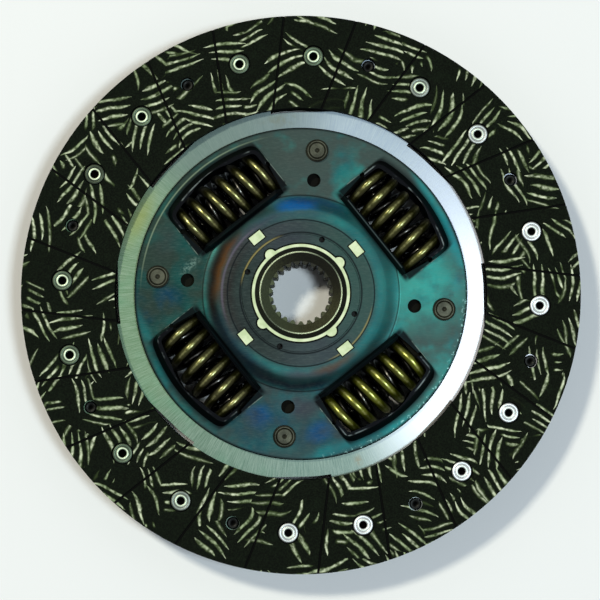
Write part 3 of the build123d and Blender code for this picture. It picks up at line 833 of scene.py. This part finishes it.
def coil_shape():
    """A wire coil along X with closed, ground ends, passing the front at half turns."""
    shape = Shape(
        "coil",
        mean_radius=float,
        wire_radius=float,
        pitch=float,
        open_turns=float,
        end_turns=float,
        end_rise=float,
        half_length=float,
        hand=float,
        points=int,
        sides=int,
    )
    line = shape.geometry("GeometryNodeCurvePrimitiveLine", End=(1.0, 0.0, 0.0))
    resample = "GeometryNodeResampleCurve"
    path = shape.geometry(resample, Curve=line, Count=shape.given("points"))
    share = shape.number("GeometryNodeSplineParameter")
    open_turns = shape.given("open_turns")
    end_turns = shape.given("end_turns")
    turns = (share * 2.0 - 1.0) * (open_turns + end_turns)
    inside = turns.least(open_turns).most(open_turns * -1.0)
    beyond = (turns - inside) / end_turns
    x = inside * shape.given("pitch") + beyond * shape.given("end_rise")
    angle = turns * shape.given("hand") * (2 * pi) + pi
    y = angle.math("SINE") * shape.given("mean_radius")
    z = angle.math("COSINE") * shape.given("mean_radius")
    set_position = "GeometryNodeSetPosition"
    wound = shape.geometry(set_position, Geometry=path, Position=shape.vector(x, y, z))
    section = shape.geometry(
        "GeometryNodeCurvePrimitiveCircle",
        Resolution=shape.given("sides"),
        Radius=shape.given("wire_radius"),
    )
    wire = shape.geometry(
        "GeometryNodeCurveToMesh",
        Curve=wound,
        Profile_Curve=section,
        Fill_Caps=True,
    )
    where = shape.node("GeometryNodeInputPosition").outputs[0]
    split = shape.node("ShaderNodeSeparateXYZ", None, [where])
    px, py, pz = (Number(shape, socket) for socket in split.outputs)
    limit = shape.given("half_length")
    ground = shape.vector(px.least(limit).most(limit * -1.0), py, pz)
    return shape.finish(shape.geometry(set_position, Geometry=wire, Position=ground))


def ring_shape():
    """Copies of one object round the axis, in groups that straddle each group's direction."""
    shape = Shape(
        "ring_of_copies",
        copy=bpy.types.Object,
        count=int,
        group_size=int,
        circle_radius=float,
        first_angle=float,
        spread=float,
        height=float,
    )
    each = shape.number("GeometryNodeInputIndex")
    size = shape.given("group_size")
    count = shape.given("count")
    group = (each / size).math("FLOOR")
    member = each - group * size
    step = 2 * pi * size / count
    lean = shape.given("spread") * (member * 2.0 - (size - 1.0))
    angle = shape.given("first_angle") + step * group + lean
    x = angle.math("COSINE") * shape.given("circle_radius")
    y = angle.math("SINE") * shape.given("circle_radius")
    place = shape.vector(x, y, shape.given("height"))
    points = shape.geometry("GeometryNodePoints", Count=count, Position=place)
    source = shape.node("GeometryNodeObjectInfo", None, {"Object": shape.entry.outputs["copy"]})
    turned = shape.node("FunctionNodeEulerToRotation", None, [shape.vector(0.0, 0.0, angle)])
    copies = shape.geometry(
        "GeometryNodeInstanceOnPoints",
        Points=points,
        Instance=source.outputs["Geometry"],
        Rotation=turned.outputs[0],
    )
    return shape.finish(copies)


def lathe(name, profile, sides, upside_down):
    """A turned object about Z from (radius, height) points in millimetres, closed on itself."""
    vertices = []
    faces = []
    flip = -1 if upside_down else 1
    for k in range(sides):
        east, north = cos(2 * pi * k / sides), sin(2 * pi * k / sides)
        for radius, height in profile:
            vertices.append((radius * MM * east, radius * MM * north, flip * height * MM))
    rows = len(profile)
    for k in range(sides):
        this, after = k * rows, (k + 1) % sides * rows
        for row in range(rows):
            following = (row + 1) % rows
            corners = [this + row, after + row, after + following, this + following]
            faces.append(corners[::flip])
    mesh = bpy.data.meshes.new(name)
    mesh.from_pydata(vertices, [], faces)
    mesh.validate()
    return place_mesh(mesh)


# ---- Damper springs ----------------------------------------------------------------

coil = coil_shape()
outer_coil = dict(
    mean_radius=9.0 * MM,
    wire_radius=2.2 * MM,
    pitch=7.08 * MM,
    open_turns=2.5,
    end_turns=0.4,
    end_rise=0.55 * MM,
    half_length=spring_length / 2 * MM,
    hand=-1.0,
    points=240,
    sides=20,
)
inner_coil = dict(
    outer_coil,
    mean_radius=5.05 * MM,
    wire_radius=1.25 * MM,
    pitch=4.5 * MM,
    open_turns=4.1,
    end_turns=0.4,
    end_rise=0.4 * MM,
    hand=1.0,
    points=330,
    sides=14,
)


def place_spring(spring, number):
    """Moves a coil's mesh to its window, hangs it on the damper springs' body and gives it a mesh
    of its own.
    """
    angle = window_angle + 360 / window_count * (number - 1)
    middle = Vector((0.0, spring_circle * MM, flange_middle * MM))
    turn = Matrix.Rotation(radians(angle - 90), 4, "Z")
    spring.data.transform(turn @ Matrix.Translation(middle))
    spring.data.update()
    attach(spring, "damper_springs")
    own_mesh(spring)


for number in range(1, window_count + 1):
    outer = coil.make(f"outer_coil_{number}", material=outer_spring_steel, **outer_coil)
    place_spring(outer, number)
    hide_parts(f"outer_spring_{number}")
    inner = coil.make(f"inner_coil_{number}", material=inner_spring_steel, **inner_coil)
    place_spring(inner, number)
    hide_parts(f"inner_spring_{number}")


# ---- Facing rivets -----------------------------------------------------------------

# Half section of a tubular rivet, as radius and height over the head's seat: from the
# head's rim inwards, down the bore, which is closed, and up the shank.
rivet_profile = [
    (4.0, 0.0),
    (4.0, 0.46),
    (3.93, 0.68),
    (3.76, 0.84),
    (3.5, 0.9),
    (3.0, 0.9),
    (2.86, 0.82),
    (2.8, 0.64),
    (2.62, 0.62),
    (2.5, 0.74),
    (2.3, 0.8),
    (1.85, 0.8),
    (1.62, 0.7),
    (1.5, 0.5),
    (1.5, -2.0),
    (0.02, -2.1),
    (0.02, -2.6),
    (1.5, -2.95),
    (1.9, -3.0),
    (2.3, -2.9),
    (2.45, -2.62),
    (2.42, -2.3),
    (2.0, -2.3),
    (2.0, 0.0),
]
rivet_sides = 40
ring = ring_shape()


def make_rivets(name, node, upside_down, **inputs):
    rivet = lathe(name + "_one", rivet_profile, rivet_sides, upside_down)
    rivets = ring.make(
        name,
        copy=rivet,
        circle_radius=rivet_circle * MM,
        first_angle=radians(paddle_angle),
        material=rivet_steel,
        **inputs,
    )
    bpy.data.objects.remove(rivet)
    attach(rivets, "disc")
    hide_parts(node)


make_rivets(
    "front_rivets",
    "front_facing_rivets",
    upside_down=False,
    count=2 * paddle_count,
    group_size=2,
    spread=radians(rivet_spread),
    height=(facing_top - counterbore_depth) * MM,
)
make_rivets(
    "rear_rivets",
    "rear_facing_rivets",
    upside_down=True,
    count=paddle_count,
    group_size=1,
    spread=0.0,
    height=(facing_foot + counterbore_depth) * MM,
)


# ---- Floor, light and camera ---------------------------------------------------------


def make_floor():
    half = 3.0  # metres
    corners = [(-half, -half, 0), (half, -half, 0), (half, half, 0), (-half, half, 0)]
    mesh = bpy.data.meshes.new("floor")
    mesh.from_pydata(corners, [], [(0, 1, 2, 3)])
    floor = place_mesh(mesh)
    material = bpy.data.materials.new("floor_paper")
    material.use_nodes = True
    shader = material.node_tree.nodes["Principled BSDF"]
    shader.inputs["Base Color"].default_value = (0.86, 0.855, 0.88, 1.0)
    shader.inputs["Roughness"].default_value = 0.9
    shader.inputs["Specular IOR Level"].default_value = 0.1
    mesh.materials.append(material)


def make_world():
    """Light from all round: soft from above, dimmer in reflections and pale to the camera."""
    world = bpy.data.worlds.new("studio")
    bpy.context.scene.world = world
    world.use_nodes = True
    tree = Tree(world.node_tree)
    path = tree.node("ShaderNodeLightPath")
    seen = Number(tree, path.outputs["Is Camera Ray"])
    gloss = Number(tree, path.outputs["Is Glossy Ray"])
    gloss = gloss.most(Number(tree, path.outputs["Is Transmission Ray"]))
    background = world.node_tree.nodes["Background"]
    background.inputs["Color"].default_value = (0.96, 0.98, 1.0, 1.0)
    direction = tree.node("ShaderNodeTexCoord").outputs["Generated"]
    split = tree.node("ShaderNodeSeparateXYZ", None, [direction])
    height = Number(tree, split.outputs["Z"])
    soft = height.between(0.15, 0.45) * height.between(0.97, 0.8) * 0.3
    strength = soft * (1.0 - seen) + seen * 0.9 + gloss * (0.42 - soft)
    world.node_tree.links.new(strength.socket, background.inputs["Strength"])


def make_light(name, azimuth, elevation, distance, size, colour, share):
    """A square lamp aimed at the disc. Share is its part of the light on a level white surface."""
    data = bpy.data.lights.new(name, "AREA")
    data.shape = "SQUARE"
    data.size = size
    data.color = colour
    data.energy = pi * pi * distance**2 * share / sin(radians(elevation))
    lamp = bpy.data.objects.new(name, data)
    bpy.context.scene.collection.objects.link(lamp)
    east = cos(radians(azimuth)) * cos(radians(elevation))
    north = sin(radians(azimuth)) * cos(radians(elevation))
    place = Vector((east, north, sin(radians(elevation)))) * distance
    aim = place.to_track_quat("Z", "Y").to_matrix().to_4x4()
    lamp.matrix_world = Matrix.Translation(place) @ aim


def make_camera():
    """Almost straight above, leaning a little towards -Y, with +Y at the top."""
    scale = 2.489  # pixels to a millimetre at the friction face
    width = 600  # pixels
    distance = 900.0
    lean = radians(3.6)
    target = Vector((-0.37, -2.88, facing_top)) * MM  # the view's middle
    data = bpy.data.cameras.new("camera")
    data.sensor_width = 36.0
    data.lens = scale * distance / width * data.sensor_width
    camera = bpy.data.objects.new("camera", data)
    bpy.context.scene.collection.objects.link(camera)
    away = Vector((0.0, -sin(lean), cos(lean)))
    turn = Matrix.Rotation(lean, 4, "X")
    camera.matrix_world = Matrix.Translation(target + away * distance * MM) @ turn
    bpy.context.scene.camera = camera


make_floor()
make_world()
make_light(
    "warm_lamp",
    azimuth=138,
    elevation=59.5,
    distance=3.0,
    size=0.32,
    colour=(1.0, 0.97, 0.78),
    share=0.46,
)
make_light(
    "cool_lamp",
    azimuth=-18,
    elevation=73,
    distance=3.0,
    size=0.5,
    colour=(0.8, 0.95, 1.0),
    share=0.47,
)
make_camera()
bpy.context.scene.view_settings.view_transform = "Standard"
